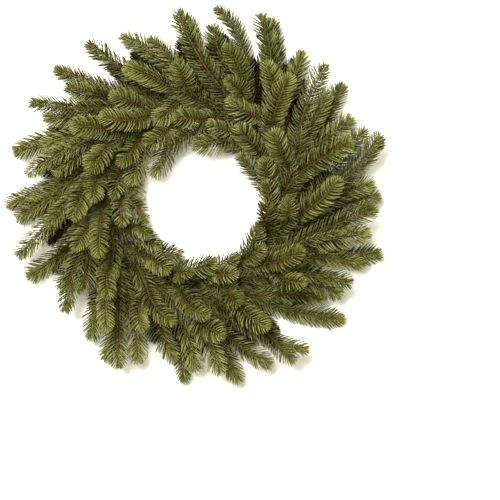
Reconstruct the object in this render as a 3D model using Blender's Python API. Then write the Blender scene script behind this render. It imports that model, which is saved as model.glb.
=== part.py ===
"""A fresh evergreen wreath, 600 mm across its tips: fir sprigs bound round a double-rail wire ring.

The wreath lies on its back, with its front facing +Z. Clock angles are in degrees, anticlockwise
from +X. Each bunch of four sprigs has its cut stems between the two rails, and the wire that binds
them runs round the ring without a break. All the foliage sweeps anticlockwise.
"""

import math

import bmesh
import bpy
import numpy as np

# Ring frame
RAIL_RADII = (0.1235, 0.1565)  # inner and outer rail, to the middle of the wire
RAIL_WIRE_RADIUS = 0.0016
RAIL_HEIGHT = 0.0033
RAIL_SEGMENTS = 56
STRAP_SIZE = (0.039, 0.006, 0.0022)  # radial length, width, thickness
STRAP_COUNT = 7
STRAP_CLOCK = 7.2  # ahead of the cut ends of every second bunch

# Bunches and their stems
BUNCH_COUNT = 14
BUNCH_STEP = 360 / BUNCH_COUNT
STEM_RADIUS = 0.0026
LANE_RADII = {"inner": 0.1295, "front": 0.1365, "middle": 0.1435, "outer": 0.1505}
LANE_HEIGHT = STRAP_SIZE[2] + 0.0003 + STEM_RADIUS
LANE_CLOCKS = (0, 8, 16)  # a stem leaves its lane at the last one

# Binding wire, which has three turns on each bunch
BINDING_RADIUS = 0.0005
BINDING_MIDDLE = 0.0047  # height of the middle of a turn
BINDING_HALF_HEIGHT = 0.0038
BINDING_INSET = 0.0004  # from each rail's middle to the centre of the turn's round end
BINDING_TURNS = ((3, 3), (4.5, 10), (11.5, 11.5))  # clocks where a turn rises inside and falls outside

# Sprigs: each is a leader with one side shoot, thickened to the dense middle of its needles
CORE_RADIUS = 0.0062
TIP_RADIUS = 0.0026
SWEEP_POINTS = 5  # along a leader, after it has left its lane
FORK = 3  # the leader's point that its side shoot grows from
LEADER_SWELL = ((0, 0.2, 0.55, 0.85, 1), (0, 0.15, 1, 1, 0))  # free length, and stem (0) to core (1)
SIDE_RADII = tuple(share * CORE_RADIUS for share in (0.48, 0.95, 1.0, 0.42))
LEADER_RISE = 0.012  # of the curve's first handle, above the lane
SIDE_RISE = 0.006

# How each kind of sprig grows: heights of the two tips, slope at them, and how far a shoot runs on
# along the ring and then along its own lean, as shares of its reach
SPRIG_KINDS = {
    "inner": {"heights": (0.040, 0.062), "slope": 0.10, "leaving": 0.22, "arriving": 0.48, "phase": 5},
    "front": {"heights": (0.096, 0.086), "slope": 0.30, "leaving": 0.38, "arriving": 0.42, "phase": 5},
    "middle": {"heights": (0.056, 0.046), "slope": 0.12, "leaving": 0.38, "arriving": 0.42, "phase": 6},
    "outer": {"heights": (0.020, 0.030), "slope": 0.0, "leaving": 0.38, "arriving": 0.42, "phase": 5},
}
HEIGHT_VARIATION = 0.006  # of the tips, as a wave round the ring
HEIGHT_WAVE = 2.4  # radians from one bunch to the next; a kind's phase is where its wave starts

# Settling crossing shoots clear of each other
GAP = 0.0004
SETTLE_ROUNDS = 400
SETTLE_STEP = 0.002  # most that a point moves in one round
RING_MARGIN = 0.020  # past the outer rail, where a shoot still clears the binding
RING_CLEARANCE = 0.002  # over the binding
LOWEST_FOLIAGE = 0.001  # above what the wreath rests on

# One row for each bunch, and in it each sprig's leader and side shoot. A shoot is given by its tip:
# clock angle, millimetres from the middle, and degrees that it leans ahead of straight outwards.
PLAN = (
    {
        "outer": ((67, 302, 30), (53, 284, 28)),
        "middle": ((70, 298, 40), (70, 160, 50)),
        "front": ((51, 235, 16), (61, 232, 51)),
        "inner": ((72, 98, 86), (58, 125, 72)),
    },
    {
        "outer": ((84, 296, 65), (84, 268, 8)),
        "middle": ((95, 286, 15), (92, 277, 5)),
        "front": ((78, 230, 58), (74, 182, 79)),
        "inner": ((92, 76, 88), (80, 112, 76)),
    },
    {
        "outer": ((115, 276, 43), (106, 258, 34)),
        "middle": ((125, 289, 12), (119, 130, 75)),
        "front": ((118, 219, 42), (97, 204, 20)),
        "inner": ((120, 86, 82), (106, 122, 72)),
    },
    {
        "outer": ((138, 298, 20), (140, 264, 18)),
        "middle": ((151, 290, 19), (153, 261, 22)),
        "front": ((140, 183, 23), (130, 196, 40)),
        "inner": ((157, 68, 79), (135, 106, 68)),
    },
    {
        "outer": ((167, 288, 38), (162, 248, 30)),
        "middle": ((174, 259, 46), (172, 218, 48)),
        "front": ((151, 211, 29), (168, 158, 66)),
        "inner": ((172, 96, 80), (160, 122, 66)),
    },
    {
        "outer": ((183, 296, 18), (188, 280, 27)),
        "middle": ((200, 290, 27), (192, 236, 36)),
        "front": ((193, 185, 62), (185, 151, 80)),
        "inner": ((195, 92, 78), (184, 124, 70)),
    },
    {
        "outer": ((206, 290, 0), (215, 258, 10)),
        "middle": ((223, 270, 36), (222, 228, 40)),
        "front": ((215, 171, 55), (206, 200, 42)),
        "inner": ((213, 86, 74), (205, 120, 64)),
    },
    {
        "outer": ((242, 295, 8), (235, 278, 37)),
        "middle": ((247, 294, 27), (252, 276, 15)),
        "front": ((239, 246, 41), (232, 203, 60)),
        "inner": ((240, 98, 80), (226, 92, 76)),
    },
    {
        "outer": ((267, 296, 0), (264, 261, 45)),
        "middle": ((279, 281, 6), (271, 273, 10)),
        "front": ((263, 199, 67), (250, 225, 45)),
        "inner": ((262, 97, 80), (254, 124, 66)),
    },
    {
        "outer": ((284, 302, 14), (295, 293, 38)),
        "middle": ((301, 303, 6), (307, 300, 48)),
        "front": ((279, 186, 69), (283, 222, 62)),
        "inner": ((290, 110, 84), (271, 121, 82)),
    },
    {
        "outer": ((321, 306, 40), (322, 264, 20)),
        "middle": ((331, 283, 8), (326, 278, 0)),
        "front": ((300, 235, 40), (293, 185, 30)),
        "inner": ((308, 118, 71), (300, 142, 60)),
    },
    {
        "outer": ((343, 309, 22), (338, 290, 8)),
        "middle": ((356, 283, 26), (348, 280, 24)),
        "front": ((334, 189, 63), (322, 222, 50)),
        "inner": ((338, 112, 90), (325, 136, 68)),
    },
    {
        "outer": ((0, 293, 13), (4, 283, 11)),
        "middle": ((18, 305, 41), (21, 288, 25)),
        "front": ((6, 226, 48), (358, 148, 82)),
        "inner": ((12, 114, 90), (355, 110, 98)),
    },
    {
        "outer": ((37, 294, 24), (26, 278, 14)),
        "middle": ((45, 290, 17), (38, 265, 32)),
        "front": ((19, 257, 18), (39, 158, 57)),
        "inner": ((44, 94, 85), (28, 124, 70)),
    },
)


def on_clock(clock, radius, height=0.0):
    """The point at a clock angle, at a distance from the wreath's middle."""
    angle = math.radians(clock)
    return np.array((radius * math.cos(angle), radius * math.sin(angle), height))


def sweep(start, start_clock, tip, tip_height, kind, count, rise):
    """Points on one smooth curve from start, where it runs along start_clock, to a tip of the plan."""
    clock, millimetres, lean = tip
    end = on_clock(clock, millimetres / 1000, tip_height)
    reach = np.linalg.norm(end - start)
    leaving = start + on_clock(start_clock, kind["leaving"] * reach, rise)
    last_run = kind["arriving"] * reach
    arriving = end - on_clock(clock + lean, last_run, kind["slope"] * last_run)
    t = np.linspace(0, 1, count + 1)[1:, None]
    near = (1 - t) ** 3 * start + 3 * t * (1 - t) ** 2 * leaving
    return near + 3 * t * t * (1 - t) * arriving + t**3 * end


def make_shoots():
    """Each sprig's leader and side shoot as dicts, before they have settled among each other."""
    shoots = []
    for number, sprigs in enumerate(PLAN):
        clock = number * BUNCH_STEP
        for kind, (leader_tip, side_tip) in sprigs.items():
            name = f"{kind}_sprig_{number + 1:02d}"
            habit = SPRIG_KINDS[kind]
            lift = HEIGHT_VARIATION * math.sin(HEIGHT_WAVE * number + habit["phase"])
            heights = [height + lift for height in habit["heights"]]
            lane = [on_clock(clock + c, LANE_RADII[kind], LANE_HEIGHT) for c in LANE_CLOCKS]
            leaving = clock + LANE_CLOCKS[-1] + 90
            free = sweep(lane[-1], leaving, leader_tip, heights[0], habit, SWEEP_POINTS, LEADER_RISE)
            points = np.array([*lane, *free])
            swell = np.interp(np.linspace(0, 1, SWEEP_POINTS + 1)[1:], *LEADER_SWELL)
            thick = CORE_RADIUS * swell + STEM_RADIUS * (1 - swell)
            radii = np.array([STEM_RADIUS] * len(lane) + list(thick))
            radii[-1] = TIP_RADIUS
            shoots.append({"name": name, "points": points, "radii": radii, "fixed": len(lane)})
            fork = points[FORK]
            along = points[FORK + 1] - points[FORK - 1]
            heading = math.degrees(math.atan2(along[1], along[0]))
            free = sweep(fork, heading, side_tip, heights[1], habit, len(SIDE_RADII) - 1, SIDE_RISE)
            points, radii = np.array([fork, *free]), np.array(SIDE_RADII)
            shoots.append({"name": name, "points": points, "radii": radii, "fixed": 1})
    return shoots


def closest(p, u, q, v):
    """Where along segments p + u and q + v each pair comes nearest, as shares of their lengths."""
    w = p - q
    a, b, c = (u * u).sum(1), (u * v).sum(1), (v * v).sum(1)
    d, e = (u * w).sum(1), (v * w).sum(1)
    det = a * c - b * b
    s = np.clip(np.where(det > 1e-6 * a * c, (b * e - c * d) / np.maximum(det, 1e-18), 0.5), 0, 1)
    t = np.clip((b * s + e) / c, 0, 1)
    s = np.clip((b * t - d) / a, 0, 1)
    return s, t


def crossing_pairs(points, radii, starts, owner):
    """Pairs of segments from two sprigs that lie near enough in plan to touch."""
    first, second = np.triu_indices(len(starts), 1)
    keep = owner[starts[first]] != owner[starts[second]]
    first, second = starts[first[keep]], starts[second[keep]]
    plan = points * (1, 1, 0)
    u, v = plan[first + 1] - plan[first], plan[second + 1] - plan[second]
    s, t = closest(plan[first], u, plan[second], v)
    p = plan[first] + s[:, None] * u
    q = plan[second] + t[:, None] * v
    reach = np.maximum(radii[first], radii[first + 1]) + np.maximum(radii[second], radii[second + 1])
    near = np.linalg.norm(p - q, axis=1) < reach + GAP
    return first[near], second[near]


def settle(shoots):
    """Shifts crossing shoots apart in height, a little at a time, until each pair is clear by GAP."""
    points = np.concatenate([s["points"] for s in shoots])
    radii = np.concatenate([s["radii"] for s in shoots])
    names = sorted({s["name"] for s in shoots})
    owner = np.concatenate([[names.index(s["name"])] * len(s["radii"]) for s in shoots])
    ends = np.cumsum([len(s["radii"]) for s in shoots])
    begins = ends - [len(s["radii"]) for s in shoots]
    starts = np.concatenate([np.arange(b, e - 1) for b, e in zip(begins, ends)])
    free = np.ones(len(points))
    for begin, shoot in zip(begins, shoots):
        free[begin : begin + shoot["fixed"]] = 0
    forks = begins[0::2] + FORK
    above_ring = np.hypot(points[:, 0], points[:, 1]) < RAIL_RADII[1] + RING_MARGIN
    binding_top = BINDING_MIDDLE + BINDING_HALF_HEIGHT + BINDING_RADIUS
    lowest = radii + np.where(above_ring, binding_top + RING_CLEARANCE, LOWEST_FOLIAGE)
    first, second = crossing_pairs(points, radii, starts, owner)
    height = points[:, 2]
    for _ in range(SETTLE_ROUNDS):
        u, v = points[first + 1] - points[first], points[second + 1] - points[second]
        s, t = closest(points[first], u, points[second], v)
        apart = points[first] + s[:, None] * u - points[second] - t[:, None] * v
        wanted = radii[first] * (1 - s) + radii[first + 1] * s
        wanted += radii[second] * (1 - t) + radii[second + 1] * t + GAP
        short = np.maximum(wanted - np.linalg.norm(apart, axis=1), 0)
        push = 0.5 * short * np.where(apart[:, 2] >= 0, 1, -1)
        shift = np.zeros(len(points))
        for index, share in ((first, 1 - s), (first + 1, s)):
            np.add.at(shift, index, push * share)
        for index, share in ((second, 1 - t), (second + 1, t)):
            np.add.at(shift, index, -push * share)
        height += np.clip(shift, -SETTLE_STEP, SETTLE_STEP) * free
        height[:] = np.where(free > 0, np.maximum(height, lowest), height)
        height[begins[1::2]] = height[forks]
    for begin, end, shoot in zip(begins, ends, shoots):
        shoot["points"] = points[begin:end]


def make_collection(name):
    collection = bpy.data.collections.new(name)
    bpy.context.scene.collection.children.link(collection)
    return collection


def make_material(name, colour, roughness, metallic=0.0):
    material = bpy.data.materials.new(name)
    material.use_nodes = True
    shader = material.node_tree.nodes["Principled BSDF"]
    shader.inputs["Base Color"].default_value = (*colour, 1)
    shader.inputs["Roughness"].default_value = roughness
    shader.inputs["Metallic"].default_value = metallic
    return material


def make_tube(name, points, radii, closed=False):
    """A six-sided tube through the points, as a closed mesh object."""
    curve = bpy.data.curves.new(name, "CURVE")
    curve.dimensions = "3D"
    curve.bevel_depth = 1.0
    curve.bevel_resolution = 1
    curve.use_fill_caps = not closed
    spline = curve.splines.new("POLY")
    spline.points.add(len(points) - 1)
    for point, position, radius in zip(spline.points, points, radii):
        point.co = (*position, 1)
        point.radius = radius
    spline.use_cyclic_u = closed
    guide = bpy.data.objects.new(name + "_guide", curve)
    bpy.context.scene.collection.objects.link(guide)
    graph = bpy.context.evaluated_depsgraph_get()
    mesh = bpy.data.meshes.new_from_object(guide.evaluated_get(graph))
    mesh.name = name
    shape = bmesh.new()
    shape.from_mesh(mesh)
    bmesh.ops.remove_doubles(shape, verts=shape.verts, dist=0.00001)
    shape.to_mesh(mesh)
    shape.free()
    tube = bpy.data.objects.new(name, mesh)
    tube.matrix_world = guide.matrix_world
    bpy.context.scene.collection.objects.link(tube)
    bpy.data.objects.remove(guide)
    bpy.data.curves.remove(curve)
    return tube


def unite(target, others):
    """Joins the other objects into target with a Boolean union, and removes them."""
    for other in others:
        modifier = target.modifiers.new("Union", "BOOLEAN")
        modifier.operation = "UNION"
        modifier.object = other
    graph = bpy.context.evaluated_depsgraph_get()
    mesh = bpy.data.meshes.new_from_object(target.evaluated_get(graph))
    target.modifiers.clear()
    target.data = mesh
    for other in others:
        bpy.data.objects.remove(other)
    return target


def finish(part, collection, material):
    """Shades a part, gives it its material, and moves it into the wreath's collection."""
    part.data.shade_smooth()
    part.data.set_sharp_from_angle(angle=math.radians(50))
    part.data.materials.clear()
    part.data.materials.append(material)
    for holder in list(part.users_collection):
        holder.objects.unlink(part)
    collection.objects.link(part)


def make_ring_frame():
    """Two wire rails, welded on flat straps that the wreath rests on."""
    pieces = []
    for radius in RAIL_RADII:
        bpy.ops.mesh.primitive_torus_add(
            location=(0, 0, RAIL_HEIGHT),
            major_segments=RAIL_SEGMENTS,
            minor_segments=6,
            major_radius=radius,
            minor_radius=RAIL_WIRE_RADIUS,
        )
        pieces.append(bpy.context.object)
    for index in range(STRAP_COUNT):
        clock = 2 * index * BUNCH_STEP + STRAP_CLOCK
        place = on_clock(clock, sum(RAIL_RADII) / 2, STRAP_SIZE[2] / 2)
        bpy.ops.mesh.primitive_cube_add(size=1, location=place, rotation=(0, 0, math.radians(clock)))
        strap = bpy.context.object
        strap.scale = STRAP_SIZE
        bpy.ops.object.transform_apply(location=False, rotation=False, scale=True)
        pieces.append(strap)
    frame = unite(pieces[-1], pieces[:-1])
    frame.name = "ring_frame"
    return frame


def binding_points():
    """The wire's path: round ends inside and outside the rails, and straight runs between them."""
    corner = BINDING_HALF_HEIGHT / math.cos(math.radians(30))
    inside, outside = RAIL_RADII[0] + BINDING_INSET, RAIL_RADII[1] - BINDING_INSET
    points = []
    for number in range(BUNCH_COUNT):
        for rising, falling in BINDING_TURNS:
            ends = ((rising, inside, -1, (-60, 0, 60)), (falling, outside, 1, (60, 0, -60)))
            for clock, radius, side, angles in ends:
                for angle in map(math.radians, angles):
                    across = radius + side * corner * math.cos(angle)
                    up = BINDING_MIDDLE + corner * math.sin(angle)
                    points.append(on_clock(number * BUNCH_STEP + clock, across, up))
    return points


def main():
    for old in list(bpy.data.objects):
        bpy.data.objects.remove(old)
    wreath = make_collection("evergreen_wreath")
    needles = make_material("needles", (0.10, 0.12, 0.03), 0.55)
    steel = make_material("ring_wire", (0.10, 0.11, 0.09), 0.45, 0.8)
    green_wire = make_material("binding_wire", (0.03, 0.07, 0.03), 0.5, 0.3)

    finish(make_ring_frame(), wreath, steel)
    route = binding_points()
    binding = make_tube("binding_wire", route, [BINDING_RADIUS] * len(route), closed=True)
    finish(binding, wreath, green_wire)

    shoots = make_shoots()
    settle(shoots)
    for leader, side in zip(shoots[0::2], shoots[1::2]):
        sprig = make_tube(leader["name"], leader["points"], leader["radii"])
        shoot = make_tube("side_shoot", side["points"], side["radii"])
        finish(unite(sprig, [shoot]), wreath, needles)


main()
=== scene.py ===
"""Looks of the evergreen wreath: twigs and needles grown along the solids of its sprigs.

Everything is in metres, in the frame of the solids: the wreath lies on its back with its front
facing +Z, and clock angles are in degrees, anticlockwise from +X.
"""

import math

import bpy
import numpy as np
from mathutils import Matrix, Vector


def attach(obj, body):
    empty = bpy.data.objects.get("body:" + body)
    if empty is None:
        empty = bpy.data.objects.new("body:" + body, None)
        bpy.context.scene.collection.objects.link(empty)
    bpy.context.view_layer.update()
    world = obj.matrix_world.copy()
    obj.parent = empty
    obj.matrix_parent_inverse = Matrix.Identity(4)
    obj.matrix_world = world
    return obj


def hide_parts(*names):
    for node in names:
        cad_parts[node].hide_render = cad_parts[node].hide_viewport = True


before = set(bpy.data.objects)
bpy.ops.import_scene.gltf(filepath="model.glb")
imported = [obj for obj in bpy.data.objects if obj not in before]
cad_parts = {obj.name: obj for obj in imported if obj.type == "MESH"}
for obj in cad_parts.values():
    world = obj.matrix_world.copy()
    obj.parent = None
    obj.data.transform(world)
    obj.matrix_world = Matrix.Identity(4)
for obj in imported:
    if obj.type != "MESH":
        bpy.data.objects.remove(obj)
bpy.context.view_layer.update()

# ---------------------------------------------------------------- layout, as the solids have it
# Ring, binding and the stems between the rails
RAIL_RADII = (0.1235, 0.1565)  # inner and outer rail, to the middle of the wire
STRAP_THICKNESS = 0.0022
BINDING_RADIUS = 0.0005
BINDING_MIDDLE = 0.0047  # height of the middle of a turn
BINDING_HALF_HEIGHT = 0.0038
BINDING_TOP = BINDING_MIDDLE + BINDING_HALF_HEIGHT + BINDING_RADIUS
BUNCH_COUNT = 14
BUNCH_STEP = 360 / BUNCH_COUNT
STEM_RADIUS = 0.0026
LANE_RADII = {"inner": 0.1295, "front": 0.1365, "middle": 0.1435, "outer": 0.1505}
LANE_GAP = 0.0003  # between a strap and the stems over it
LANE_HEIGHT = STRAP_THICKNESS + LANE_GAP + STEM_RADIUS
LANE_CLOCKS = (0, 8, 16)  # a stem leaves its lane at the last one

# Sprigs: each is a leader with one side shoot
CORE_RADIUS = 0.0062
TIP_RADIUS = 0.0026
SWEEP_POINTS = 5  # along a leader, after it has left its lane
FORK = 3  # the leader's point that its side shoot grows from
LEADER_SWELL = ((0, 0.2, 0.55, 0.85, 1), (0, 0.15, 1, 1, 0))  # free length, and stem (0) to core (1)
SIDE_RADII = tuple(share * CORE_RADIUS for share in (0.48, 0.95, 1.0, 0.42))
LEADER_RISE = 0.012  # of the curve's first handle, above the lane
SIDE_RISE = 0.006

# How each kind of sprig grows: heights of the two tips, slope at them, and how far a shoot runs on
# along the ring and then along its own lean, as shares of its reach
SPRIG_KINDS = {
    "inner": {"heights": (0.040, 0.062), "slope": 0.10, "leaving": 0.22, "arriving": 0.48, "phase": 5},
    "front": {"heights": (0.096, 0.086), "slope": 0.30, "leaving": 0.38, "arriving": 0.42, "phase": 5},
    "middle": {"heights": (0.056, 0.046), "slope": 0.12, "leaving": 0.38, "arriving": 0.42, "phase": 6},
    "outer": {"heights": (0.020, 0.030), "slope": 0.0, "leaving": 0.38, "arriving": 0.42, "phase": 5},
}
HEIGHT_VARIATION = 0.006  # of the tips, as a wave round the ring
HEIGHT_WAVE = 2.4  # radians from one bunch to the next; a kind's phase is where its wave starts

# Settling crossing shoots clear of each other
GAP = 0.0004
SETTLE_ROUNDS = 400
SETTLE_STEP = 0.002  # most that a point moves in one round
RING_MARGIN = 0.020  # past the outer rail, where a shoot still clears the binding
RING_CLEARANCE = 0.002  # over the binding
LOWEST_FOLIAGE = 0.001  # above what the wreath rests on

# One row for each bunch, and in it each sprig's leader and side shoot. A shoot is given by its tip:
# clock angle, millimetres from the middle, and degrees that it leans ahead of straight outwards.
PLAN = (
    {
        "outer": ((67, 302, 30), (53, 284, 28)),
        "middle": ((70, 298, 40), (70, 160, 50)),
        "front": ((51, 235, 16), (61, 232, 51)),
        "inner": ((72, 98, 86), (58, 125, 72)),
    },
    {
        "outer": ((84, 296, 65), (84, 268, 8)),
        "middle": ((95, 286, 15), (92, 277, 5)),
        "front": ((78, 230, 58), (74, 182, 79)),
        "inner": ((92, 76, 88), (80, 112, 76)),
    },
    {
        "outer": ((115, 276, 43), (106, 258, 34)),
        "middle": ((125, 289, 12), (119, 130, 75)),
        "front": ((118, 219, 42), (97, 204, 20)),
        "inner": ((120, 86, 82), (106, 122, 72)),
    },
    {
        "outer": ((138, 298, 20), (140, 264, 18)),
        "middle": ((151, 290, 19), (153, 261, 22)),
        "front": ((140, 183, 23), (130, 196, 40)),
        "inner": ((157, 68, 79), (135, 106, 68)),
    },
    {
        "outer": ((167, 288, 38), (162, 248, 30)),
        "middle": ((174, 259, 46), (172, 218, 48)),
        "front": ((151, 211, 29), (168, 158, 66)),
        "inner": ((172, 96, 80), (160, 122, 66)),
    },
    {
        "outer": ((183, 296, 18), (188, 280, 27)),
        "middle": ((200, 290, 27), (192, 236, 36)),
        "front": ((193, 185, 62), (185, 151, 80)),
        "inner": ((195, 92, 78), (184, 124, 70)),
    },
    {
        "outer": ((206, 290, 0), (215, 258, 10)),
        "middle": ((223, 270, 36), (222, 228, 40)),
        "front": ((215, 171, 55), (206, 200, 42)),
        "inner": ((213, 86, 74), (205, 120, 64)),
    },
    {
        "outer": ((242, 295, 8), (235, 278, 37)),
        "middle": ((247, 294, 27), (252, 276, 15)),
        "front": ((239, 246, 41), (232, 203, 60)),
        "inner": ((240, 98, 80), (226, 92, 76)),
    },
    {
        "outer": ((267, 296, 0), (264, 261, 45)),
        "middle": ((279, 281, 6), (271, 273, 10)),
        "front": ((263, 199, 67), (250, 225, 45)),
        "inner": ((262, 97, 80), (254, 124, 66)),
    },
    {
        "outer": ((284, 302, 14), (295, 293, 38)),
        "middle": ((301, 303, 6), (307, 300, 48)),
        "front": ((279, 186, 69), (283, 222, 62)),
        "inner": ((290, 110, 84), (271, 121, 82)),
    },
    {
        "outer": ((321, 306, 40), (322, 264, 20)),
        "middle": ((331, 283, 8), (326, 278, 0)),
        "front": ((300, 235, 40), (293, 185, 30)),
        "inner": ((308, 118, 71), (300, 142, 60)),
    },
    {
        "outer": ((343, 309, 22), (338, 290, 8)),
        "middle": ((356, 283, 26), (348, 280, 24)),
        "front": ((334, 189, 63), (322, 222, 50)),
        "inner": ((338, 112, 90), (325, 136, 68)),
    },
    {
        "outer": ((0, 293, 13), (4, 283, 11)),
        "middle": ((18, 305, 41), (21, 288, 25)),
        "front": ((6, 226, 48), (358, 148, 82)),
        "inner": ((12, 114, 90), (355, 110, 98)),
    },
    {
        "outer": ((37, 294, 24), (26, 278, 14)),
        "middle": ((45, 290, 17), (38, 265, 32)),
        "front": ((19, 257, 18), (39, 158, 57)),
        "inner": ((44, 94, 85), (28, 124, 70)),
    },
)


def on_clock(clock, radius, height=0.0):
    """The point at a clock angle, at a distance from the wreath's middle."""
    angle = math.radians(clock)
    return np.array((radius * math.cos(angle), radius * math.sin(angle), height))


def sweep(start, start_clock, tip, tip_height, kind, count, rise):
    """Points on one smooth curve from start, where it runs along start_clock, to a tip of the plan."""
    clock, millimetres, lean = tip
    end = on_clock(clock, millimetres / 1000, tip_height)
    reach = np.linalg.norm(end - start)
    leaving = start + on_clock(start_clock, kind["leaving"] * reach, rise)
    last_run = kind["arriving"] * reach
    arriving = end - on_clock(clock + lean, last_run, kind["slope"] * last_run)
    t = np.linspace(0, 1, count + 1)[1:, None]
    near = (1 - t) ** 3 * start + 3 * t * (1 - t) ** 2 * leaving
    return near + 3 * t * t * (1 - t) * arriving + t**3 * end


def make_shoots():
    """Each sprig's leader and side shoot as dicts, before they have settled among each other."""
    shoots = []
    for number, sprigs in enumerate(PLAN):
        clock = number * BUNCH_STEP
        for kind, (leader_tip, side_tip) in sprigs.items():
            name = f"{kind}_sprig_{number + 1:02d}"
            habit = SPRIG_KINDS[kind]
            lift = HEIGHT_VARIATION * math.sin(HEIGHT_WAVE * number + habit["phase"])
            heights = [height + lift for height in habit["heights"]]
            lane = [on_clock(clock + c, LANE_RADII[kind], LANE_HEIGHT) for c in LANE_CLOCKS]
            leaving = clock + LANE_CLOCKS[-1] + 90
            free = sweep(lane[-1], leaving, leader_tip, heights[0], habit, SWEEP_POINTS, LEADER_RISE)
            points = np.array([*lane, *free])
            swell = np.interp(np.linspace(0, 1, SWEEP_POINTS + 1)[1:], *LEADER_SWELL)
            thick = CORE_RADIUS * swell + STEM_RADIUS * (1 - swell)
            radii = np.array([STEM_RADIUS] * len(lane) + list(thick))
            radii[-1] = TIP_RADIUS
            shoots.append({"name": name, "kind": kind, "points": points, "radii": radii, "fixed": len(lane)})
            fork = points[FORK]
            along = points[FORK + 1] - points[FORK - 1]
            heading = math.degrees(math.atan2(along[1], along[0]))
            free = sweep(fork, heading, side_tip, heights[1], habit, len(SIDE_RADII) - 1, SIDE_RISE)
            points, radii = np.array([fork, *free]), np.array(SIDE_RADII)
            shoots.append({"name": name, "points": points, "radii": radii, "fixed": 1})
    return shoots


def closest(p, u, q, v):
    """Where along segments p + u and q + v each pair comes nearest, as shares of their lengths."""
    w = p - q
    a, b, c = (u * u).sum(1), (u * v).sum(1), (v * v).sum(1)
    d, e = (u * w).sum(1), (v * w).sum(1)
    det = a * c - b * b
    s = np.clip(np.where(det > 1e-6 * a * c, (b * e - c * d) / np.maximum(det, 1e-18), 0.5), 0, 1)
    t = np.clip((b * s + e) / c, 0, 1)
    s = np.clip((b * t - d) / a, 0, 1)
    return s, t


def crossing_pairs(points, radii, starts, owner):
    """Pairs of segments from two sprigs that lie near enough in plan to touch."""
    first, second = np.triu_indices(len(starts), 1)
    keep = owner[starts[first]] != owner[starts[second]]
    first, second = starts[first[keep]], starts[second[keep]]
    plan = points * (1, 1, 0)
    u, v = plan[first + 1] - plan[first], plan[second + 1] - plan[second]
    s, t = closest(plan[first], u, plan[second], v)
    p = plan[first] + s[:, None] * u
    q = plan[second] + t[:, None] * v
    reach = np.maximum(radii[first], radii[first + 1]) + np.maximum(radii[second], radii[second + 1])
    near = np.linalg.norm(p - q, axis=1) < reach + GAP
    return first[near], second[near]


def settle(shoots):
    """Shifts crossing shoots apart in height, a little at a time for SETTLE_ROUNDS rounds, pushing each pair
    towards a clearance of GAP.
    """
    points = np.concatenate([s["points"] for s in shoots])
    radii = np.concatenate([s["radii"] for s in shoots])
    names = sorted({s["name"] for s in shoots})
    owner = np.concatenate([[names.index(s["name"])] * len(s["radii"]) for s in shoots])
    ends = np.cumsum([len(s["radii"]) for s in shoots])
    begins = ends - [len(s["radii"]) for s in shoots]
    starts = np.concatenate([np.arange(b, e - 1) for b, e in zip(begins, ends)])
    free = np.ones(len(points))
    for begin, shoot in zip(begins, shoots):
        free[begin : begin + shoot["fixed"]] = 0
    forks = begins[0::2] + FORK
    above_ring = np.hypot(points[:, 0], points[:, 1]) < RAIL_RADII[1] + RING_MARGIN
    lowest = radii + np.where(above_ring, BINDING_TOP + RING_CLEARANCE, LOWEST_FOLIAGE)
    first, second = crossing_pairs(points, radii, starts, owner)
    height = points[:, 2]
    for _ in range(SETTLE_ROUNDS):
        u, v = points[first + 1] - points[first], points[second + 1] - points[second]
        s, t = closest(points[first], u, points[second], v)
        apart = points[first] + s[:, None] * u - points[second] - t[:, None] * v
        wanted = radii[first] * (1 - s) + radii[first + 1] * s
        wanted += radii[second] * (1 - t) + radii[second + 1] * t + GAP
        short = np.maximum(wanted - np.linalg.norm(apart, axis=1), 0)
        push = 0.5 * short * np.where(apart[:, 2] >= 0, 1, -1)
        shift = np.zeros(len(points))
        for index, share in ((first, 1 - s), (first + 1, s)):
            np.add.at(shift, index, push * share)
        for index, share in ((second, 1 - t), (second + 1, t)):
            np.add.at(shift, index, -push * share)
        height += np.clip(shift, -SETTLE_STEP, SETTLE_STEP) * free
        height[:] = np.where(free > 0, np.maximum(height, lowest), height)
        height[begins[1::2]] = height[forks]
    for begin, end, shoot in zip(begins, ends, shoots):
        shoot["points"] = points[begin:end]


# ---------------------------------------------------------------- twigs
LINE_SAMPLES = 400  # on a shoot's curve, before it is divided into equal steps
LINE_STEP = 0.0015  # between points of a shoot's smooth middle line
LEAST_LINE_POINTS = 8
TWIG_SIDES = 8
SIDE_ANGLES = 2 * math.pi * np.arange(TWIG_SIDES) / TWIG_SIDES
TWIG_RING_STEP = 2  # line points from one ring of the twig to the next
TWIG_ENDS_BEFORE_TIP = 0.010
TWIG_ROUGHNESS = 0.05  # of its radius
LEADER_TWIG = (0.0024, 0.0009)  # radius at its cut end and at its tip
SIDE_TWIG = (0.0014, 0.0008)
THICK_STEM = 0.045  # length from its cut end where a stem is almost as thick as in the solids
THICK_STEM_SHARE = 0.98

# Small twigs that fill the spray below and beside its shoots: the share of the line where each forks
# off, on which side, and its length.
TWIGLETS = {
    "outer": ((0.34, -1, 0.075), (0.52, 1, 0.065)),
    "middle": ((0.30, 1, 0.075), (0.50, -1, 0.065)),
    "front": ((0.30, -1, 0.060),),
    "inner": (),
}
TWIGLET_STEPS = 4
TWIGLET_LEAN = (math.radians(48), math.radians(26))  # from the leader, at its base and its end
TWIGLET_DROP = 0.022  # from its fork to its end
TWIGLET_TWIG = (0.0013, 0.0009)
LOWEST_TWIGLET = 0.006
# Painted shade: twiglets are darkened to stand for the shade under the shoots above them
TWIGLET_PAINTED_SHADE = -0.64  # darker, like the foliage in the photo's gaps

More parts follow.
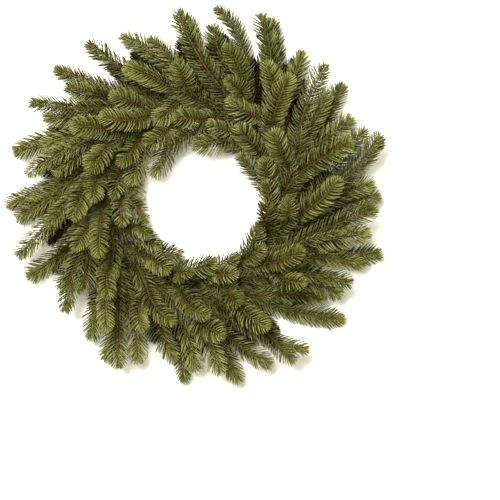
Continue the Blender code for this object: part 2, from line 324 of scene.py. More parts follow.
# ---------------------------------------------------------------- needles
NEEDLE_ROWS = (  # turn from straight up in degrees, share of the full length, lean less than at the
    # sides in degrees, start as a share of the spacing, and change of tone
    # Change of tone: painted light on the upper rows, painted shade on the lower rows beneath them
    (9, 0.42, 12, 0.5, 0.10),
    (30, 0.50, 10, 0.0, 0.10),
    (52, 0.74, 2, 0.0, 0.16),
    (70, 0.94, 0, 0.0, 0.18),
    (88, 1.00, 0, 0.0, 0.04),
    (106, 0.95, 0, 0.02, -0.45),
    (118, 0.74, 1, 0.36, -0.80),
    (128, 0.68, 1, 0.66, -0.85),
    (150, 0.58, 8, 0.5, -0.85),
)
TOP_ODDS = (0.2, 0.9)  # the first row, over the twig, is thin on some shoots and full on others
ROW_SPACING = 0.0051  # from station to station; each side of a station has a needle of every row
TIP_SPACING = 0.70  # spacing at a shoot's tip as a share of that
FIRST_STATION = 0.4  # of the spacing, the furthest that the first needles stand from the twig's end
TERMINAL_NEEDLES = 9  # round the bud
TERMINAL_SHARE = 0.75  # of the length of the needles beside it
TERMINAL_TONE = 0.1
TERMINAL_DEPTH = 0.0015  # over which they are spread along the twig
GOLDEN_ANGLE = math.radians(137.508)

NEEDLE_LENGTH = (0.0125, 0.0255)  # at a shoot's tip, and away from it
FULL_LENGTH_AT = 0.027  # from the twig's end
LONGEST_SHARE = 1.06  # of the full length
SHORTENED_AT_TIP = 0.35  # how much of a row's shortening holds even at a shoot's tip
NEEDLE_WIDTH = 0.0015
NEEDLE_THICKNESS = 0.0009
NEEDLE_SIDES = 4
NEEDLE_STATIONS = (0.0, 0.16, 0.52, 0.86, 1.0)  # shares of its length at its rings and its point
NEEDLE_WIDTHS = (0.42, 0.80, 1.00, 0.78)  # shares of its width at its rings
NEEDLE_EDGES = (1, 0, 1, 0)  # which corners of a ring are on the edges
THIN_ENDS = 0.4  # share of the thickness that doesn't narrow with the width
SIZE_POWER = 0.7  # how width and thickness follow a needle's length

TIP_LEAN = math.radians(30)  # from the twig, half way along a needle at a shoot's tip
FULL_LEAN = math.radians(50)  # and away from it
LEAST_LEAN = 0.05
BEND = math.radians(18)  # a needle starts with this much more lean, and ends with this much less
BEND_AT_TIP = 0.3  # share of that at a shoot's tip
LEAST_END_LEAN = 0.02
BASE_SHARE, END_SHARE = 0.45, 0.55  # of a needle's length before and after its bend
LEAST_SPREAD = 0.6  # keeps the upper and lower needles from standing straight off the twig
UPSWEEP = 0.10  # how far needles turn up, as a share of how far they stand out
LOWEST_NEEDLE = 0.0011
HIGHEST_NEEDLE = 0.1120
NEEDLED_LANE = 0.55  # share of a stem's bound part that carries needles

# How far things differ by chance, as standard deviations in metres, radians or shares
ROLL = 0.22  # of a shoot's whole spray about its twig
HABIT_LEAN = math.radians(3.5)  # from shoot to shoot
HABIT_LENGTH = 0.07
STATION_LEAN, STATION_LENGTH, STATION_SPACING = 0.045, 0.05, 0.05  # from station to station
PLACE_JITTER, LENGTH_JITTER, LEAN_JITTER = 0.0002, 0.03, 0.02  # from needle to needle
TURN_JITTER = 3  # in degrees
TERMINAL_TURN_JITTER, TERMINAL_LENGTH_JITTER = 0.2, 0.08
FACING_JITTER = 0.16  # of the way that a needle's flat side faces
SIZE_JITTER = 0.06  # of its width and thickness

# What the materials read at each vertex: tone from dark to light, which also carries painted light
# and shade, place along a needle or twig, how young, how much older and painted darker towards a
# shoot's base, and whether it is on a needle's edge. All run from 0 to 1.
ATTRIBUTES = ("tone", "along", "young", "age_and_shade", "edge")
TONE, TONE_SPREAD = 0.405, 0.22  # of single needles
SHOOT_TONE_SPREAD = 0.08  # of whole shoots
YOUNG_TIPS = {"outer": 0.35, "middle": 0.5, "front": 0.9, "inner": 0.45}  # how fresh their green is
YOUNG_LENGTH = 0.045  # of a shoot, from its tip
OLD_AND_SHADED_FROM_TIP = 0.13  # needles this far from a shoot's tip are the oldest and darkest: partly older needles, partly painted shade deep in the wreath
POINT_EDGE = 0.6  # how much of an edge a needle's point is

# ---------------------------------------------------------------- material slots and bake places
NEEDLES, BARK, CUT_WOOD = range(3)  # material slots of a sprig
SHOOT_SEEDS = 10  # seeds kept for each sprig
TWIG_STRIP = 0.10  # share of the bake square kept for the twigs, in one strip for each
TWIG_U = (0.02, 0.97)  # where in its strip a twig begins and ends
TWIG_V = (0.04, 0.96)  # and where its first and last side lie
CAP_U = (0.008, 0.985)  # and where the middles of its two closed ends are
CAP_SIZE = (0.006, 0.4)  # half their width and height there
NEEDLE_COLUMNS = 12  # of bake cells, with one cell for each needle
NEEDLE_CELL = (0.95, 0.86)  # share of a bake cell that a needle fills
NEEDLE_SIDES_FROM = 0.12  # where in its cell a needle's sides begin
NEEDLE_CAP_TO = 0.08  # and where its closed base ends


# ---------------------------------------------------------------- growing
def unit(vectors):
    return vectors / np.linalg.norm(vectors, axis=-1, keepdims=True)


def smooth_line(points):
    """(points, distances) every LINE_STEP along a smooth curve through the given points."""
    steps = np.linalg.norm(np.diff(points, axis=0), axis=1)
    knots = np.concatenate([[0], np.cumsum(steps)])
    slopes = np.diff(points, axis=0) / steps[:, None]
    tangents = np.empty_like(points)
    tangents[0], tangents[-1] = slopes[0], slopes[-1]
    before, after = steps[:-1, None], steps[1:, None]
    tangents[1:-1] = (slopes[:-1] * after + slopes[1:] * before) / (before + after)
    samples = np.linspace(0, knots[-1], LINE_SAMPLES)
    index = np.clip(np.searchsorted(knots, samples, side="right") - 1, 0, len(steps) - 1)
    step = steps[index][:, None]
    t = ((samples - knots[index])[:, None]) / step
    curve = (2 * t**3 - 3 * t**2 + 1) * points[index] + (t**3 - 2 * t**2 + t) * step * tangents[index]
    curve += (3 * t**2 - 2 * t**3) * points[index + 1] + (t**3 - t**2) * step * tangents[index + 1]
    lengths = np.concatenate([[0], np.cumsum(np.linalg.norm(np.diff(curve, axis=0), axis=1))])
    distances = np.linspace(0, lengths[-1], max(LEAST_LINE_POINTS, int(lengths[-1] / LINE_STEP)))
    line = np.stack([np.interp(distances, lengths, curve[:, axis]) for axis in range(3)], axis=1)
    return line, distances


def axes_along(line, roll):
    """Unit tangents, and the up and side directions of the spray, rolled about the twig."""
    tangents = unit(np.gradient(line, axis=0))
    up = unit(np.array((0, 0, 1.0)) - tangents[:, 2:3] * tangents)
    side = np.cross(tangents, up)
    cos, sin = math.cos(roll), math.sin(roll)
    return tangents, cos * up + sin * side, cos * side - sin * up


def lane_length(leader):
    """Length of the bound part of a leader's stem."""
    return np.linalg.norm(np.diff(leader["points"][: leader["fixed"]], axis=0), axis=1).sum()


def make_twiglets(leader):
    """Shoots that fork off a leader and sink below it."""
    line, distances = smooth_line(leader["points"])
    base_lean, end_lean = TWIGLET_LEAN
    twiglets = []
    for share, side, length in TWIGLETS[leader["kind"]]:
        index = np.searchsorted(distances, leader["bound"] + share * (distances[-1] - leader["bound"]))
        fork, tangent = line[index], line[index + 1] - line[index - 1]
        heading = math.atan2(tangent[1], tangent[0])
        points = [fork]
        for step in range(TWIGLET_STEPS):
            lean = heading + side * (base_lean + (end_lean - base_lean) * step / (TWIGLET_STEPS - 1))
            point = points[-1] + np.array((math.cos(lean), math.sin(lean), 0)) * length / TWIGLET_STEPS
            sunk = fork[2] - TWIGLET_DROP * (step + 1) / TWIGLET_STEPS
            point[2] = max(sunk, min(LOWEST_TWIGLET, fork[2]))
            points.append(point)
        points = np.array(points)
        twiglets.append(dict(points=points, twig=TWIGLET_TWIG, bound=0, tone=TWIGLET_PAINTED_SHADE, young=0))
    return twiglets


def flatten(faces, uvs):
    """The corners of faces, the number of corners of each, and the corners' bake places."""
    corners = np.array([corner for face in faces for corner in face])
    sizes = np.array([len(face) for face in faces])
    return corners, sizes, np.array([uv for face in uvs for uv in face])


def twig_faces(along):
    """Faces of a twig over its rings of vertices, and each corner's place in the twig's strip."""
    faces, uvs = [], []
    run = TWIG_U[0] + (TWIG_U[1] - TWIG_U[0]) * along
    across = np.linspace(*TWIG_V, TWIG_SIDES + 1)
    for ring in range(len(along) - 1):
        low, high = ring * TWIG_SIDES, (ring + 1) * TWIG_SIDES
        near, far = run[ring], run[ring + 1]
        for side in range(TWIG_SIDES):
            following = (side + 1) % TWIG_SIDES
            left, right = across[side], across[side + 1]
            faces.append((low + side, high + side, high + following, low + following))
            uvs.append(((near, left), (far, left), (far, right), (near, right)))
    for ring, order, middle in ((0, 1, CAP_U[0]), (len(along) - 1, -1, CAP_U[1])):
        rim = [(middle + CAP_SIZE[0] * math.cos(a), 0.5 + CAP_SIZE[1] * math.sin(a)) for a in SIDE_ANGLES]
        faces.append([ring * TWIG_SIDES + side for side in range(TWIG_SIDES)][::order])
        uvs.append(rim[::order])
    return faces, uvs


def grow_twig(shoot, line, distances, rng):
    """A shoot's twig as a part of a mesh: rings of vertices along its line, closed at both ends."""
    inside = distances <= distances[-1] - TWIG_ENDS_BEFORE_TIP
    line, distances = line[inside][::TWIG_RING_STEP], distances[inside][::TWIG_RING_STEP]
    along = distances / distances[-1]
    base_radius, tip_radius = shoot["twig"]
    radius = base_radius + (tip_radius - base_radius) * along
    if shoot["bound"]:
        stem = np.where(distances < THICK_STEM, STEM_RADIUS * THICK_STEM_SHARE, 0)
        radius = np.maximum(radius, stem)
    _, up, side = axes_along(line, 0.0)
    cos, sin = np.cos(SIDE_ANGLES)[None, :, None], np.sin(SIDE_ANGLES)[None, :, None]
    outward = cos * side[:, None] + sin * up[:, None]
    rough = 1 + TWIG_ROUGHNESS * rng.normal(0, 1, (len(line), TWIG_SIDES, 1))
    vertices = line[:, None] + radius[:, None, None] * rough * outward
    corners, sizes, uvs = flatten(*twig_faces(along))
    slots = np.full(len(sizes), BARK)
    if shoot["bound"]:
        slots[-2] = CUT_WOOD  # the cut end, the first of the two end faces
    twig = {key: np.zeros(len(line) * TWIG_SIDES) for key in ATTRIBUTES}
    twig["tone"] += rng.uniform(0, 1)
    twig["along"] += np.repeat(along, TWIG_SIDES)
    twig.update(vertices=vertices.reshape(-1, 3), corners=corners, sizes=sizes, slots=slots, uvs=uvs)
    return twig


def place_needles(twig_end, begin, top_odds, rng):
    """Place along the twig, turn, share of the full length, lean less than at the sides, and change
    of tone of every needle, in rows along both sides of the twig and round its bud. The change of
    tone is painted light on the upper rows and painted shade on the lower rows."""
    needles = []
    for side in (-1, 1):
        station = twig_end - ROW_SPACING * rng.uniform(0, FIRST_STATION)
        while station > begin:
            near_tip = max(0.0, 1 - (twig_end - station) / FULL_LENGTH_AT)
            spacing = ROW_SPACING * (1 - (1 - TIP_SPACING) * near_tip)
            swing, size = rng.normal(0, STATION_LEAN), rng.normal(1, STATION_LENGTH)
            for row, (row_turn, row_share, row_ease, start, tone) in enumerate(NEEDLE_ROWS):
                if row == 0 and rng.random() > top_odds:
                    continue
                place = station - spacing * start + rng.normal(0, PLACE_JITTER)
                turn = side * math.radians(row_turn + rng.normal(0, TURN_JITTER))
                share = row_share * size * rng.normal(1, LENGTH_JITTER)
                ease = math.radians(row_ease) + swing + rng.normal(0, LEAN_JITTER)
                needles.append((place, turn, share, ease, tone))
            station -= spacing * rng.normal(1, STATION_SPACING)
    for number in range(TERMINAL_NEEDLES):
        turn = GOLDEN_ANGLE * number + rng.normal(0, TERMINAL_TURN_JITTER)
        ease = TIP_LEAN * (1 - (number + 0.5) / TERMINAL_NEEDLES)
        place = twig_end - rng.uniform(0, TERMINAL_DEPTH)
        share = TERMINAL_SHARE * rng.normal(1, TERMINAL_LENGTH_JITTER)
        needles.append((place, turn, share, ease, TERMINAL_TONE))
    return [np.array(column) for column in zip(*needles)]


def grow_needles(line, distances, begin, roll, rng):
    """Needles along one shoot: the three points of each one's curve, up directions, lengths,
    distances from the twig's end and changes of tone, all as arrays. The changes of tone are
    painted light on the upper rows and painted shade on the lower rows."""
    twig_end = distances[-1] - TWIG_ENDS_BEFORE_TIP
    top_odds = rng.uniform(*TOP_ODDS)
    habit_lean, habit_length = rng.normal(0, HABIT_LEAN), rng.normal(1, HABIT_LENGTH)
    places, turns, shares, eases, tones = place_needles(twig_end, begin, top_odds, rng)
    places = np.clip(places, 0, twig_end)

    def at_places(rows):
        return np.stack([np.interp(places, distances, rows[:, axis]) for axis in range(3)], axis=1)

    base = at_places(line)
    tangent, up, side = (unit(at_places(rows)) for rows in axes_along(line, roll))
    outward = np.cos(turns)[:, None] * up + np.sin(turns)[:, None] * side
    from_tip = twig_end - places
    grown = np.clip(from_tip / FULL_LENGTH_AT, 0, 1)
    grown = grown * (2 - grown)
    lengths = NEEDLE_LENGTH[0] + (NEEDLE_LENGTH[1] - NEEDLE_LENGTH[0]) * grown
    lengths = np.minimum(lengths * habit_length, NEEDLE_LENGTH[1] * LONGEST_SHARE)
    lengths = lengths * (1 - (1 - shares) * np.maximum(grown, SHORTENED_AT_TIP))
    lean = np.maximum(TIP_LEAN + (FULL_LEAN - TIP_LEAN + habit_lean) * grown - eases, LEAST_LEAN)
    bend = BEND * (BEND_AT_TIP + (1 - BEND_AT_TIP) * grown)
    directions = []
    for bent in (lean + bend, np.maximum(lean - bend, LEAST_END_LEAN)):
        bent = np.arctan2(np.tan(bent), np.maximum(np.abs(np.sin(turns)), LEAST_SPREAD))
        direction = np.cos(bent)[:, None] * tangent + np.sin(bent)[:, None] * outward
        directions.append(unit(direction + UPSWEEP * np.sin(bent)[:, None] * up))
    middle = base + directions[0] * (BASE_SHARE * lengths)[:, None]
    point = middle + directions[1] * (END_SHARE * lengths)[:, None]
    return (base, middle, point), up, lengths, from_tip, tones


def needle_vertices(curves, up, lengths, rng):
    """(n, k, 3): the corners of each ring of every needle, then its point."""
    base, middle, point = (points[:, None] for points in curves)
    t = np.array(NEEDLE_STATIONS)[None, :, None]
    widths = np.array(NEEDLE_WIDTHS)[None, :, None]
    centre = (1 - t) ** 2 * base + 2 * t * (1 - t) * middle + t**2 * point
    centre[:, :, 2] = np.clip(centre[:, :, 2], LOWEST_NEEDLE, HIGHEST_NEEDLE)
    heading = unit(2 * (1 - t) * (middle - base) + 2 * t * (point - middle))
    facing = unit(up + rng.normal(0, FACING_JITTER, up.shape))
    across = unit(np.cross(heading, facing[:, None]))
    normal = np.cross(across, heading)
    size = (lengths / NEEDLE_LENGTH[1]) ** SIZE_POWER * rng.normal(1, SIZE_JITTER, len(lengths))
    wide = 0.5 * NEEDLE_WIDTH * size[:, None, None] * widths
    thick = 0.5 * NEEDLE_THICKNESS * size[:, None, None] * (THIN_ENDS + (1 - THIN_ENDS) * widths)
    ring = centre[:, :-1]
    sideways, upwards = across[:, :-1] * wide, normal[:, :-1] * thick
    corners = np.stack([ring + sideways, ring + upwards, ring - sideways, ring - upwards], axis=2)
    return np.concatenate([corners.reshape(len(lengths), -1, 3), centre[:, -1:]], axis=1)


def needle_faces():
    """Faces of one needle over its vertices, and each corner's place in the needle's cell."""
    faces, uvs = [], []
    run = [NEEDLE_SIDES_FROM + (1 - NEEDLE_SIDES_FROM) * station for station in NEEDLE_STATIONS]
    last = len(NEEDLE_WIDTHS) - 1
    for ring in range(last + 1):
        low, high = NEEDLE_SIDES * ring, NEEDLE_SIDES * (ring + 1)
        near, far = run[ring], run[ring + 1]
        for side in range(NEEDLE_SIDES):
            following = (side + 1) % NEEDLE_SIDES
            left, right = side / NEEDLE_SIDES, (side + 1) / NEEDLE_SIDES
            if ring < last:
                faces.append((low + side, low + following, high + following, high + side))
                uvs.append(((near, left), (near, right), (far, right), (far, left)))
            else:
                faces.append((low + side, low + following, high))
                uvs.append(((near, left), (near, right), (far, (left + right) / 2)))
    faces.append(tuple(reversed(range(NEEDLE_SIDES))))
    uvs.append(((0.0, 0.0), (NEEDLE_CAP_TO, 0.0), (NEEDLE_CAP_TO, 1.0), (0.0, 1.0)))
    return faces, uvs


def dress_shoot(shoot, line, distances, rng):
    """A shoot's needles: the vertices of each, its tone with painted light and shade, its youth, and
    how much older and painted darker each needle is.
    """
    begin = shoot["bound"] * (1 - NEEDLED_LANE)
    roll = rng.normal(0, ROLL)
    curves, up, lengths, from_tip, tones = grow_needles(line, distances, begin, roll, rng)
    vertices = needle_vertices(curves, up, lengths, rng)
    young = shoot["young"] * np.clip(1 - from_tip / YOUNG_LENGTH, 0, 1)
    # Random tone of the whole shoot, plus the painted shade of a twiglet
    shade = rng.normal(0, SHOOT_TONE_SPREAD) + shoot["tone"]
    tone = np.clip(rng.normal(TONE, TONE_SPREAD, len(lengths)) + shade + tones, 0, 1)
    # Darker towards the shoot's base: partly older needles, partly painted shade deep in the wreath
    age_and_shade = np.clip(from_tip / OLD_AND_SHADED_FROM_TIP, 0, 1)
    return vertices, tone, young, age_and_shade


def gather_needles(needle_sets):
    """All the needles of a sprig as a part of a mesh, each in its own cell of the bake square."""
    vertices, tone, young, age_and_shade = (np.concatenate(column) for column in zip(*needle_sets))
    count, each = vertices.shape[:2]
    corners, sizes, uvs = flatten(*needle_faces())
    cell = np.array((1 / NEEDLE_COLUMNS, (1 - TWIG_STRIP) / math.ceil(count / NEEDLE_COLUMNS)))
    numbers = np.arange(count)
    cell_corners = np.stack([numbers % NEEDLE_COLUMNS, numbers // NEEDLE_COLUMNS], axis=1) * cell
    in_cell = cell * (uvs * NEEDLE_CELL + (1 - np.array(NEEDLE_CELL)) / 2)
    rings = len(NEEDLE_WIDTHS)
    return {
        "vertices": vertices.reshape(-1, 3),
        "corners": (each * numbers[:, None] + corners).reshape(-1),
        "sizes": np.tile(sizes, count),
        "slots": np.full(count * len(sizes), NEEDLES),
        "uvs": (cell_corners[:, None] + in_cell).reshape(-1, 2),
        "tone": np.repeat(tone, each),
        "along": np.tile([*np.repeat(NEEDLE_STATIONS[:rings], NEEDLE_SIDES), 1.0], count),
        "young": np.repeat(young, each),
        "age_and_shade": np.repeat(age_and_shade, each),
        "edge": np.tile([*np.tile(NEEDLE_EDGES, rings), POINT_EDGE], count),
    }


def join(parts):
    """Parts of a mesh as one, with the corners of each counted on from the vertices before it."""
    counts = [len(part["vertices"]) for part in parts]
    for part, before in zip(parts, np.cumsum([0, *counts])):
        part["corners"] += before
    return {key: np.concatenate([part[key] for part in parts]) for key in parts[0]}


def make_mesh(name, part):
    """A smooth mesh with the part's attributes, material slots and bake places."""
    mesh = bpy.data.meshes.new(name)
    mesh.vertices.add(len(part["vertices"]))
    mesh.vertices.foreach_set("co", part["vertices"].astype(np.float32).reshape(-1))
    mesh.loops.add(len(part["corners"]))
    mesh.loops.foreach_set("vertex_index", part["corners"].astype(np.int32))
    mesh.polygons.add(len(part["sizes"]))
    starts = np.concatenate([[0], np.cumsum(part["sizes"])[:-1]])
    mesh.polygons.foreach_set("loop_start", starts.astype(np.int32))
    mesh.polygons.foreach_set("material_index", part["slots"].astype(np.int32))
    mesh.polygons.foreach_set("use_smooth", np.ones(len(starts), bool))
    layer = mesh.uv_layers.new(name="OFBake")
    layer.data.foreach_set("uv", part["uvs"].astype(np.float32).reshape(-1))
    for key in ATTRIBUTES:
        values = mesh.attributes.new(key, "FLOAT", "POINT")
        values.data.foreach_set("value", part[key].astype(np.float32))
    mesh.update(calc_edges=True)
    mesh.validate()
    return mesh


def build_sprig(name, shoots, finishes):
    """One mesh object with the twigs and needles of a sprig."""
    seed = sum(ord(letter) * (place + 1) for place, letter in enumerate(name))
    parts, needle_sets = [], []
    for number, shoot in enumerate(shoots):
        rng = np.random.default_rng(seed * SHOOT_SEEDS + number)
        line, distances = smooth_line(shoot["points"])
        twig = grow_twig(shoot, line, distances, rng)
        twig["uvs"][:, 1] = 1 - TWIG_STRIP + TWIG_STRIP / len(shoots) * (number + twig["uvs"][:, 1])
        parts.append(twig)
        needle_sets.append(dress_shoot(shoot, line, distances, rng))
    mesh = make_mesh(name + "_foliage", join([*parts, gather_needles(needle_sets)]))
    for finish in finishes:
        mesh.materials.append(finish)
    piece = bpy.data.objects.new(name + "_foliage", mesh)
    bpy.context.scene.collection.objects.link(piece)
    return piece


# ---------------------------------------------------------------- materials
NEEDLE_TONES = (  # place on the scale of tones, and colour
    (0.0, (0.0040, 0.0034, 0.0003)),
    (0.35, (0.0305, 0.0340, 0.0006)),
    (0.65, (0.0970, 0.1070, 0.0035)),
    (1.0, (0.3550, 0.3580, 0.1050)),
)
YOUNG_GREEN, YOUNG_SHARE = (0.1850, 0.1950, 0.0180), 0.45
# Pale edges and tips: partly the needles' own pale margins, partly a painted highlight
EDGE_GREEN_AND_HIGHLIGHT, EDGE_SHARE = (0.3000, 0.3060, 0.0900), 0.34
TIP_GREEN_AND_HIGHLIGHT = (0.4700, 0.4550, 0.2150)
TIP_LEVELS = ((0.0, 0), (0.45, 0.04), (0.80, 0.2), (1.0, 0.6))  # place along a needle, and share
LIT = 1.8  # times its tone, how strongly a needle's edges and tip turn pale: partly their own colour, partly a painted highlight
FOOT_BROWN = (0.0850, 0.0430, 0.0050)
FOOT_LEVELS = ((0.0, 0.9), (0.18, 0.62), (0.42, 0))
# Darker green towards a shoot's base: partly older needles, partly painted shade deep in the wreath
OLD_AND_SHADED_GREEN, OLD_AND_SHADED_SHARE = (0.0190, 0.0165, 0.0012), 0.55
MOTTLE_GREEN, MOTTLE_SHARE = (0.0270, 0.0310, 0.0015), 0.25
NEEDLE_GLOSS_TINT = (1.0, 0.96, 0.25, 1)
BARK_BROWNS = ((0.3, (0.0330, 0.0165, 0.0036)), (0.7, (0.0850, 0.0470, 0.0105)))
FRESH_BARK = ((0.3, (0.0540, 0.0360, 0.0052)), (0.7, (0.1100, 0.0760, 0.0130)))
FRESH_LEVELS = ((0.60, 0), (0.90, 1))  # place along a twig, and share of the fresh bark
PALE_WOOD = ((0.3, (0.2700, 0.1650, 0.0680)), (0.7, (0.4400, 0.3050, 0.1500)))
RING_STEEL = ((0.35, (0.10, 0.11, 0.10)), (0.75, (0.20, 0.20, 0.19)))
GREEN_WIRE = ((0.35, (0.02, 0.06, 0.025)), (0.75, (0.05, 0.10, 0.05)))
PATCH_ROUGHNESS = 0.25  # that mottles and worn patches add
FLOOR_COLOUR = (0.93, 0.91, 0.81, 1)


def new_material(name):
    """A material, its nodes and links, and its shader."""
    material = bpy.data.materials.new(name)
    material.use_nodes = True
    tree = material.node_tree
    return material, tree.nodes, tree.links, tree.nodes["Principled BSDF"]


def attribute(nodes, name):
    """The socket that reads one of ATTRIBUTES."""
    node = nodes.new("ShaderNodeAttribute")
    node.attribute_name = name
    return node.outputs["Fac"]


def ramp(nodes, links, factor, stops):
    """Colour after a factor: each stop is a place and a colour."""
    node = nodes.new("ShaderNodeValToRGB")
    elements = node.color_ramp.elements
    while len(elements) < len(stops):
        elements.new(0.5)
    for element, (position, colour) in zip(elements, stops):
        element.position = position
        element.color = (*colour, 1)
    links.new(factor, node.inputs["Fac"])
    return node.outputs["Color"]


def levels(nodes, links, factor, stops):
    """A ramp of greys: each stop is a place and a level."""
    return ramp(nodes, links, factor, [(place, (level, level, level)) for place, level in stops])


def mix(nodes, links, factor, first, second):
    """The first colour turned into the second by the factor. Only the second may be a constant."""
    node = nodes.new("ShaderNodeMix")
    node.data_type = "RGBA"
    sockets = {socket.name: socket for socket in node.inputs if socket.enabled}
    links.new(factor, sockets["Factor"])
    links.new(first, sockets["A"])
    if hasattr(second, "node"):
        links.new(second, sockets["B"])
    else:
        sockets["B"].default_value = (*second, 1)
    return [socket for socket in node.outputs if socket.enabled][0]


def maths(nodes, links, operation, *values):
    """The result of an operation on values, each of them a socket or a number."""
    node = nodes.new("ShaderNodeMath")
    node.operation = operation
    for socket, value in zip(node.inputs, values):
        if hasattr(value, "node"):
            links.new(value, socket)
        else:
            socket.default_value = value
    return node.outputs[0]


def noise(nodes, links, scale, detail=2.0):
    """Noise over the object's own coordinates."""
    place = nodes.new("ShaderNodeTexCoord")
    node = nodes.new("ShaderNodeTexNoise")
    node.inputs["Scale"].default_value = scale
    node.inputs["Detail"].default_value = detail
    links.new(place.outputs["Object"], node.inputs["Vector"])
    return node.outputs["Fac"]


def add_bump(nodes, links, shader, height, distance, strength):
    node = nodes.new("ShaderNodeBump")
    node.inputs["Distance"].default_value = distance
    node.inputs["Strength"].default_value = strength
    links.new(height, node.inputs["Height"])
    links.new(node.outputs["Normal"], shader.inputs["Normal"])


def roughen(nodes, links, shader, patches, least):
    """Roughness from a least value upwards, with more of it where the patches are."""
    rough = maths(nodes, links, "MULTIPLY_ADD", patches, PATCH_ROUGHNESS, least)
    links.new(rough, shader.inputs["Roughness"])


def needle_colour(nodes, links, mottle):
    """Green after each needle's tone, which carries painted light and shade, with pale edges and tips
    that are partly a painted highlight, a brown foot, and a darker green towards the base that is
    partly older needles and partly painted shade.
    """
    tone, along = attribute(nodes, "tone"), attribute(nodes, "along")
    lit = maths(nodes, links, "MULTIPLY", tone, LIT)
    young = maths(nodes, links, "MULTIPLY", attribute(nodes, "young"), YOUNG_SHARE)
    edges = maths(nodes, links, "MULTIPLY", attribute(nodes, "edge"), EDGE_SHARE)
    edges = maths(nodes, links, "MULTIPLY", edges, lit)
    tips = maths(nodes, links, "MULTIPLY", levels(nodes, links, along, TIP_LEVELS), lit)
    foot = levels(nodes, links, along, FOOT_LEVELS)
    old_and_shaded = maths(nodes, links, "MULTIPLY", attribute(nodes, "age_and_shade"), OLD_AND_SHADED_SHARE)
    patches = maths(nodes, links, "MULTIPLY", mottle, MOTTLE_SHARE)
    colour = ramp(nodes, links, tone, NEEDLE_TONES)
    for share, shade in (
        (young, YOUNG_GREEN),
        (edges, EDGE_GREEN_AND_HIGHLIGHT),
        (tips, TIP_GREEN_AND_HIGHLIGHT),
        (foot, FOOT_BROWN),
        (old_and_shaded, OLD_AND_SHADED_GREEN),
        (patches, MOTTLE_GREEN),
    ):
        colour = mix(nodes, links, share, colour, shade)
    return colour


def needle_material():
    material, nodes, links, shader = new_material("fir_needles")
    mottle = noise(nodes, links, scale=420.0)
    links.new(needle_colour(nodes, links, mottle), shader.inputs["Base Color"])
    roughen(nodes, links, shader, mottle, least=0.24)
    shader.inputs["Specular IOR Level"].default_value = 0.07
    shader.inputs["Specular Tint"].default_value = NEEDLE_GLOSS_TINT
    grain = noise(nodes, links, scale=1500.0)
    add_bump(nodes, links, shader, grain, distance=0.0001, strength=0.6)
    return material


def bark_material():
    """Reddish brown bark, fresher and greener towards the twig's tip."""
    material, nodes, links, shader = new_material("fir_bark")
    grain = noise(nodes, links, scale=260.0, detail=4.0)
    brown, green = (ramp(nodes, links, grain, stops) for stops in (BARK_BROWNS, FRESH_BARK))
    fresh = levels(nodes, links, attribute(nodes, "along"), FRESH_LEVELS)
    links.new(mix(nodes, links, fresh, brown, green), shader.inputs["Base Color"])
    shader.inputs["Roughness"].default_value = 0.72
    shader.inputs["Specular IOR Level"].default_value = 0.2
    cracks = noise(nodes, links, scale=700.0, detail=4.0)
    add_bump(nodes, links, shader, cracks, distance=0.0005, strength=0.9)
    return material


def cut_wood_material():
    material, nodes, links, shader = new_material("cut_wood")
    grain = noise(nodes, links, scale=900.0, detail=3.0)
    links.new(ramp(nodes, links, grain, PALE_WOOD), shader.inputs["Base Color"])
    shader.inputs["Roughness"].default_value = 0.85
    shader.inputs["Specular IOR Level"].default_value = 0.2
    fibres = noise(nodes, links, scale=1800.0)
    add_bump(nodes, links, shader, fibres, distance=0.0002, strength=0.6)
    return material


def wire_material(name, colours, metallic, least_rough):
    """Wire with worn patches, which are also rougher."""
    material, nodes, links, shader = new_material(name)
    patches = noise(nodes, links, scale=90.0, detail=5.0)
    links.new(ramp(nodes, links, patches, colours), shader.inputs["Base Color"])
    shader.inputs["Metallic"].default_value = metallic
    roughen(nodes, links, shader, patches, least_rough)
    scratches = noise(nodes, links, scale=900.0, detail=3.0)
    add_bump(nodes, links, shader, scratches, distance=0.0002, strength=0.5)
    return material


def floor_material():
    material, _, _, shader = new_material("studio_floor")
    shader.inputs["Base Color"].default_value = FLOOR_COLOUR
    shader.inputs["Roughness"].default_value = 0.9
    shader.inputs["Specular IOR Level"].default_value = 0.1
    return material


# ---------------------------------------------------------------- studio and assembly
SENSOR_WIDTH = 36
CAMERA_DISTANCE = 2.5  # over the middle of the foliage
FOLIAGE_MIDDLE = 0.04
PICTURE_WIDTH = 0.771  # at that distance
PICTURE_MIDDLE = (0.0875, -0.0852)  # with the wreath left of it and above it, as in the photo
SKY_COLOUR, SKY_STRENGTH = (1, 0.97, 0.86, 1), 0.64
LIGHTS = (  # name, place, width and power
    ("key", (-0.6, 0.8, 2.3), 1.2, 163.0),
    ("fill", (1.2, -0.6, 2.0), 1.4, 6.0),
)
FLOOR_WIDTH = 8
FLOOR_GAP = 0.0005  # under the wreath


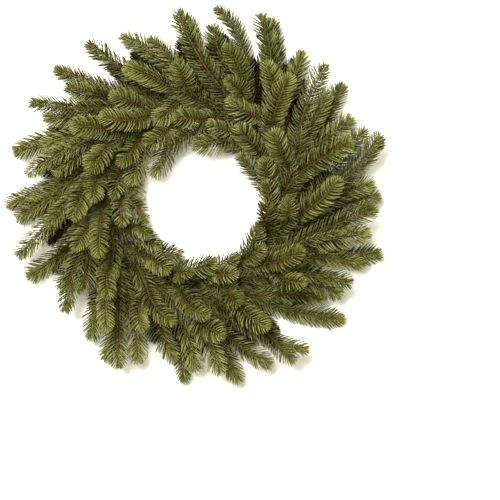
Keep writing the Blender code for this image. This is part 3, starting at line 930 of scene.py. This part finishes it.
def recolour(node, material):
    """Gives a solid of the frame another material."""
    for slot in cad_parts[node].material_slots:
        slot.material = material


def make_camera():
    data = bpy.data.cameras.new("camera")
    camera = bpy.data.objects.new("camera", data)
    bpy.context.scene.collection.objects.link(camera)
    data.sensor_width = SENSOR_WIDTH
    data.lens = SENSOR_WIDTH * CAMERA_DISTANCE / PICTURE_WIDTH
    camera.location = (*PICTURE_MIDDLE, CAMERA_DISTANCE + FOLIAGE_MIDDLE)
    bpy.context.scene.camera = camera


def make_lights():
    world = bpy.data.worlds.new("studio")
    bpy.context.scene.world = world
    world.use_nodes = True
    background = world.node_tree.nodes["Background"]
    background.inputs["Color"].default_value = SKY_COLOUR
    background.inputs["Strength"].default_value = SKY_STRENGTH
    for name, place, width, power in LIGHTS:
        data = bpy.data.lights.new(name, "AREA")
        data.size = width
        data.energy = power
        light = bpy.data.objects.new(name, data)
        light.location = place
        light.rotation_euler = Vector(place).to_track_quat("Z", "Y").to_euler()
        bpy.context.scene.collection.objects.link(light)


def make_floor():
    bpy.ops.mesh.primitive_plane_add(size=FLOOR_WIDTH, location=(0, 0, -FLOOR_GAP))
    floor = bpy.context.object
    floor.name = "floor"
    floor.data.materials.append(floor_material())


def main():
    finishes = (needle_material(), bark_material(), cut_wood_material())  # in the order of the slots
    shoots = make_shoots()
    settle(shoots)
    for leader, side in zip(shoots[0::2], shoots[1::2]):
        young = YOUNG_TIPS[leader["kind"]]
        leader.update(twig=LEADER_TWIG, bound=lane_length(leader), tone=0, young=young)
        side.update(twig=SIDE_TWIG, bound=0, tone=0, young=young)
        piece = build_sprig(leader["name"], (leader, side, *make_twiglets(leader)), finishes)
        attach(piece, "root")
        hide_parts(leader["name"])
    recolour("ring_frame", wire_material("ring_steel", RING_STEEL, metallic=0.8, least_rough=0.32))
    recolour("binding_wire", wire_material("green_wire", GREEN_WIRE, metallic=0.2, least_rough=0.35))
    make_camera()
    make_lights()
    make_floor()
    bpy.context.scene.view_settings.view_transform = "Standard"


main()
